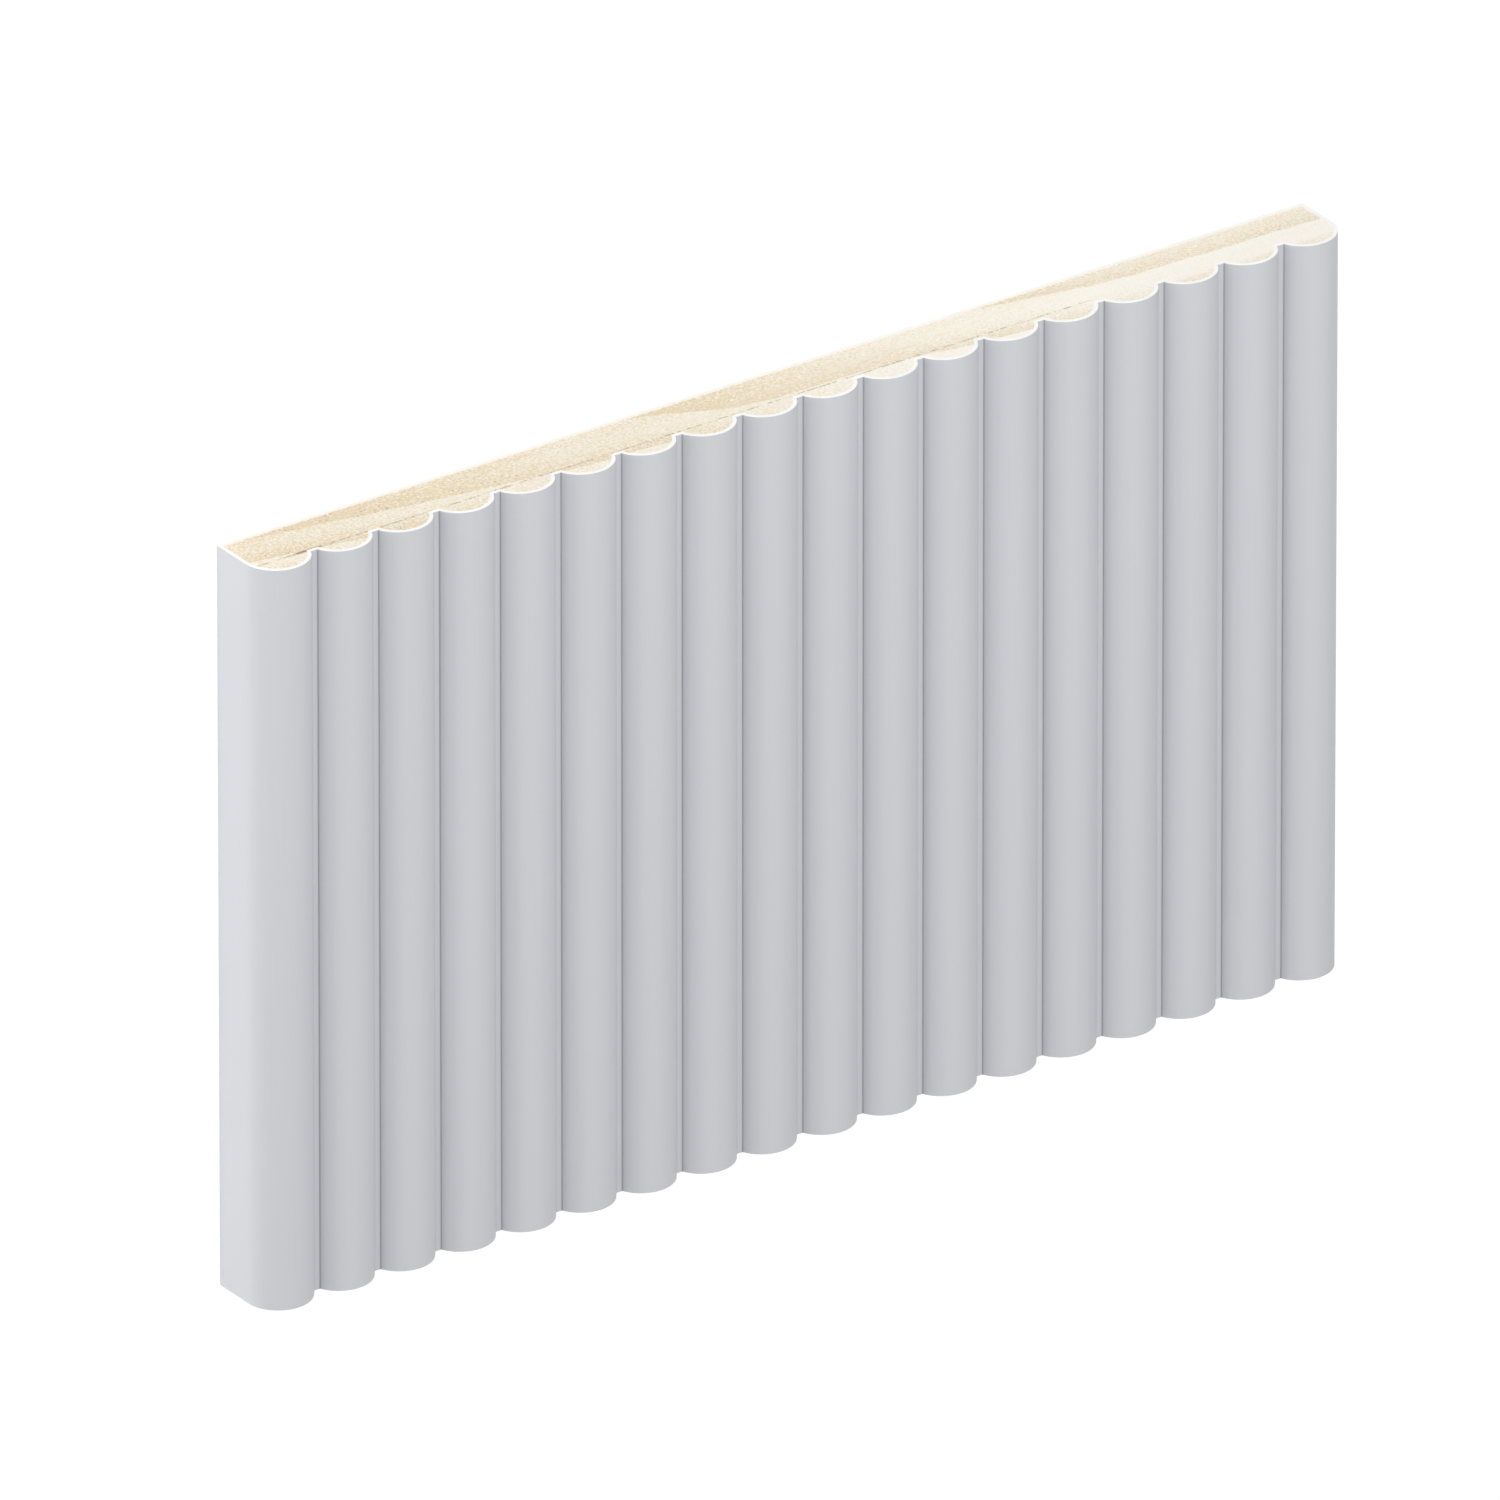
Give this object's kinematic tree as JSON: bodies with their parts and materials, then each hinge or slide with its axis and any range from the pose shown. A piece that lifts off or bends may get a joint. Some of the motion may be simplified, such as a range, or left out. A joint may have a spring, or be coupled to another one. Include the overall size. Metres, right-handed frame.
{
  "type": "reeded wall panel",
  "caption": "Primed softwood wall board with a row of half-round reeds along its front, flat narrow grooves between them, a plain back and square sawn ends.",
  "frame": {"origin": "middle of the panel's flat back", "axes": "+X across the reeds, +Y along the reeds, +Z from the back towards the reeds"},
  "size_m": [0.24, 0.15, 0.0157],
  "materials": {
    "softwood": "matte",
    "primer": "matte"
  },
  "bodies": {
    "root": {"timber_core": "softwood", "primer_coat": "primer"}
  },
  "joints": []
}
